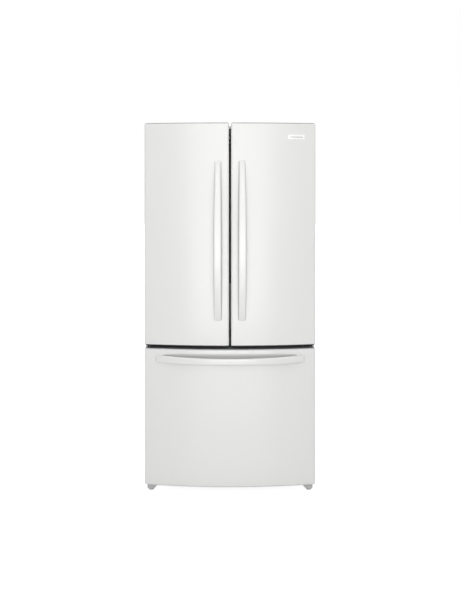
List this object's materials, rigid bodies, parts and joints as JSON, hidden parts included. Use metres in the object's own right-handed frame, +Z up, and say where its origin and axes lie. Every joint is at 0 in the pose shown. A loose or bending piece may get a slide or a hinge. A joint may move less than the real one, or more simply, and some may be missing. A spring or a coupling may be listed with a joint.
{
  "type": "french door refrigerator",
  "caption": "Bottom-freezer refrigerator with two bowed upper doors, upright bow handles, and a wide freezer drawer with an arched handle, fully fitted inside.",
  "frame": {"origin": "centre of the overall footprint, on the floor", "axes": "+Z up, -Y out of the fronts of the doors, +X to the right as seen from the front"},
  "size_m": [0.8, 0.734, 1.747],
  "materials": {
    "white_enamel": "glossy white enamel on steel sheet",
    "galvanised_sheet": "dull zinc-coated sheet",
    "insulation_foam": "matte cream foam",
    "liner_plastic": "satin white vacuum-formed plastic",
    "black_paint": "satin black paint",
    "coil_paint": "dark grey paint",
    "motor_steel": "satin steel",
    "fan_plastic": "satin light grey plastic",
    "cover_sheet": "matte grey paint",
    "black_rubber": "matte black rubber",
    "coil_aluminium": "bare aluminium",
    "panel_plastic": "satin light grey plastic",
    "button_plastic": "satin grey plastic",
    "rail_steel": "zinc-plated steel",
    "shelf_glass": "clear tempered glass",
    "clear_plastic": "clear glossy plastic",
    "white_plastic": "glossy white painted plastic",
    "foot_plastic": "matte grey plastic",
    "roller_plastic": "matte dark grey plastic",
    "cap_plastic": "matte light grey plastic",
    "gasket_rubber": "matte grey vinyl",
    "mullion_plastic": "satin dark grey plastic"
  },
  "bodies": {
    "cabinet": {"cabinet_wrapper": "white_enamel", "back_panel": "galvanised_sheet", "cabinet_foam": "insulation_foam", "fresh_food_liner": "liner_plastic", "freezer_liner": "liner_plastic", "base_pan": "galvanised_sheet", "compressor": "black_paint", "condenser_coil": "coil_paint", "condenser_fan_motor": "motor_steel", "rear_cover": "cover_sheet", "cord_gland": "black_rubber", "evaporator_coil": "coil_aluminium", "evaporator_cover": "liner_plastic", "air_duct": "liner_plastic", "control_panel": "panel_plastic", "shelf_ladders": "rail_steel", "shelf_frames": "liner_plastic", "shelf_glasses": "shelf_glass", "crisper_frame": "liner_plastic", "hinge_brackets": "rail_steel", "hinge_pins": "rail_steel", "hinge_covers": "white_plastic", "cabinet_rails": "rail_steel"},
    "left_door": {"left_door_skin": "white_enamel", "left_door_liner": "liner_plastic", "left_door_foam": "insulation_foam", "left_door_caps": "cap_plastic", "left_door_gasket": "gasket_rubber", "left_door_handle": "white_plastic", "left_door_bins": "clear_plastic"},
    "right_door": {"right_door_skin": "white_enamel", "right_door_liner": "liner_plastic", "right_door_foam": "insulation_foam", "right_door_caps": "cap_plastic", "right_door_gasket": "gasket_rubber", "right_door_handle": "white_plastic", "right_door_bins": "clear_plastic"},
    "drawer": {"drawer_skin": "white_enamel", "drawer_liner": "liner_plastic", "drawer_foam": "insulation_foam", "drawer_gasket": "gasket_rubber", "drawer_handle": "white_plastic", "freezer_basket": "clear_plastic", "drawer_rails": "rail_steel"},
    "condenser_fan": {"condenser_fan": "fan_plastic"},
    "evaporator_fan": {"evaporator_fan": "fan_plastic"},
    "fridge_temp_button": {"fridge_temp_button": "button_plastic"},
    "freezer_temp_button": {"freezer_temp_button": "button_plastic"},
    "left_crisper": {"left_crisper": "clear_plastic"},
    "right_crisper": {"right_crisper": "clear_plastic"},
    "left_humidity_slider": {"left_humidity_slider": "button_plastic"},
    "right_humidity_slider": {"right_humidity_slider": "button_plastic"},
    "left_leg": {"left_leg": "foot_plastic"},
    "right_leg": {"right_leg": "foot_plastic"},
    "left_rear_roller": {"left_rear_roller": "roller_plastic"},
    "right_rear_roller": {"right_rear_roller": "roller_plastic"},
    "middle_rails": {"middle_rails": "rail_steel"},
    "mullion_flipper": {"mullion_flipper": "mullion_plastic"},
    "dairy_lid": {"dairy_lid": "clear_plastic"},
    "upper_basket": {"upper_basket": "clear_plastic"}
  },
  "joints": [
    {"name": "left_door_hinge", "type": "hinge", "parent": "cabinet", "child": "left_door", "pos_m": [-0.378, -0.25, 1.222], "axis": [0, 0, -1], "range_deg": [0, 120]},
    {"name": "right_door_hinge", "type": "hinge", "parent": "cabinet", "child": "right_door", "pos_m": [0.378, -0.25, 1.222], "axis": [0, 0, 1], "range_deg": [0, 120]},
    {"name": "drawer_slide", "type": "slide", "parent": "cabinet", "child": "drawer", "axis": [0, -1, 0], "range_m": [0, 0.4]},
    {"name": "middle_rail_slide", "type": "slide", "parent": "cabinet", "child": "middle_rails", "axis": [0, -1, 0], "range_m": [0, 0.2]},
    {"name": "upper_basket_slide", "type": "slide", "parent": "cabinet", "child": "upper_basket", "axis": [0, -1, 0], "range_m": [0, 0.2]},
    {"name": "left_crisper_slide", "type": "slide", "parent": "cabinet", "child": "left_crisper", "axis": [0, -1, 0], "range_m": [0, 0.3]},
    {"name": "right_crisper_slide", "type": "slide", "parent": "cabinet", "child": "right_crisper", "axis": [0, -1, 0], "range_m": [0, 0.3]},
    {"name": "mullion_fold", "type": "hinge", "parent": "left_door", "child": "mullion_flipper", "pos_m": [-0.032, -0.202, 1.213], "axis": [0, 0, 1], "range_deg": [-90, 0]},
    {"name": "dairy_lid_hinge", "type": "hinge", "parent": "right_door", "child": "dairy_lid", "pos_m": [0.1955, -0.124, 1.64], "axis": [1, 0, 0], "range_deg": [0, 90]},
    {"name": "fridge_button_press", "type": "slide", "parent": "cabinet", "child": "fridge_temp_button", "axis": [0, 1, 0], "range_m": [0, 0.002], "stiffness_N_per_m": 400},
    {"name": "freezer_button_press", "type": "slide", "parent": "cabinet", "child": "freezer_temp_button", "axis": [0, 1, 0], "range_m": [0, 0.002], "stiffness_N_per_m": 400},
    {"name": "left_humidity_slide", "type": "slide", "parent": "left_crisper", "child": "left_humidity_slider", "axis": [-1, 0, 0], "range_m": [0, 0.066]},
    {"name": "right_humidity_slide", "type": "slide", "parent": "right_crisper", "child": "right_humidity_slider", "axis": [1, 0, 0], "range_m": [0, 0.066]},
    {"name": "condenser_fan_spin", "type": "hinge", "parent": "cabinet", "child": "condenser_fan", "pos_m": [0.017, 0.263, 0.132], "axis": [1, 0, 0], "continuous": true},
    {"name": "evaporator_fan_spin", "type": "hinge", "parent": "cabinet", "child": "evaporator_fan", "pos_m": [0, 0.276, 0.56], "axis": [0, 1, 0], "continuous": true},
    {"name": "left_leg_screw", "type": "hinge", "parent": "cabinet", "child": "left_leg", "pos_m": [-0.376, -0.196, 0.02], "axis": [0, 0, 1], "continuous": true},
    {"name": "right_leg_screw", "type": "hinge", "parent": "cabinet", "child": "right_leg", "pos_m": [0.376, -0.196, 0.02], "axis": [0, 0, 1], "continuous": true},
    {"name": "left_roller_spin", "type": "hinge", "parent": "cabinet", "child": "left_rear_roller", "pos_m": [-0.35, 0.32, 0.018], "axis": [1, 0, 0], "continuous": true},
    {"name": "right_roller_spin", "type": "hinge", "parent": "cabinet", "child": "right_rear_roller", "pos_m": [0.35, 0.32, 0.018], "axis": [1, 0, 0], "continuous": true}
  ],
  "couplings": [
    {"joint": "middle_rail_slide", "follows": "drawer_slide", "ratio": 0.5},
    {"joint": "upper_basket_slide", "follows": "drawer_slide", "ratio": 0.5},
    {"joint": "left_crisper_slide", "follows": "left_door_hinge", "m_per_rad": 0.14},
    {"joint": "right_crisper_slide", "follows": "right_door_hinge", "m_per_rad": 0.14}
  ]
}
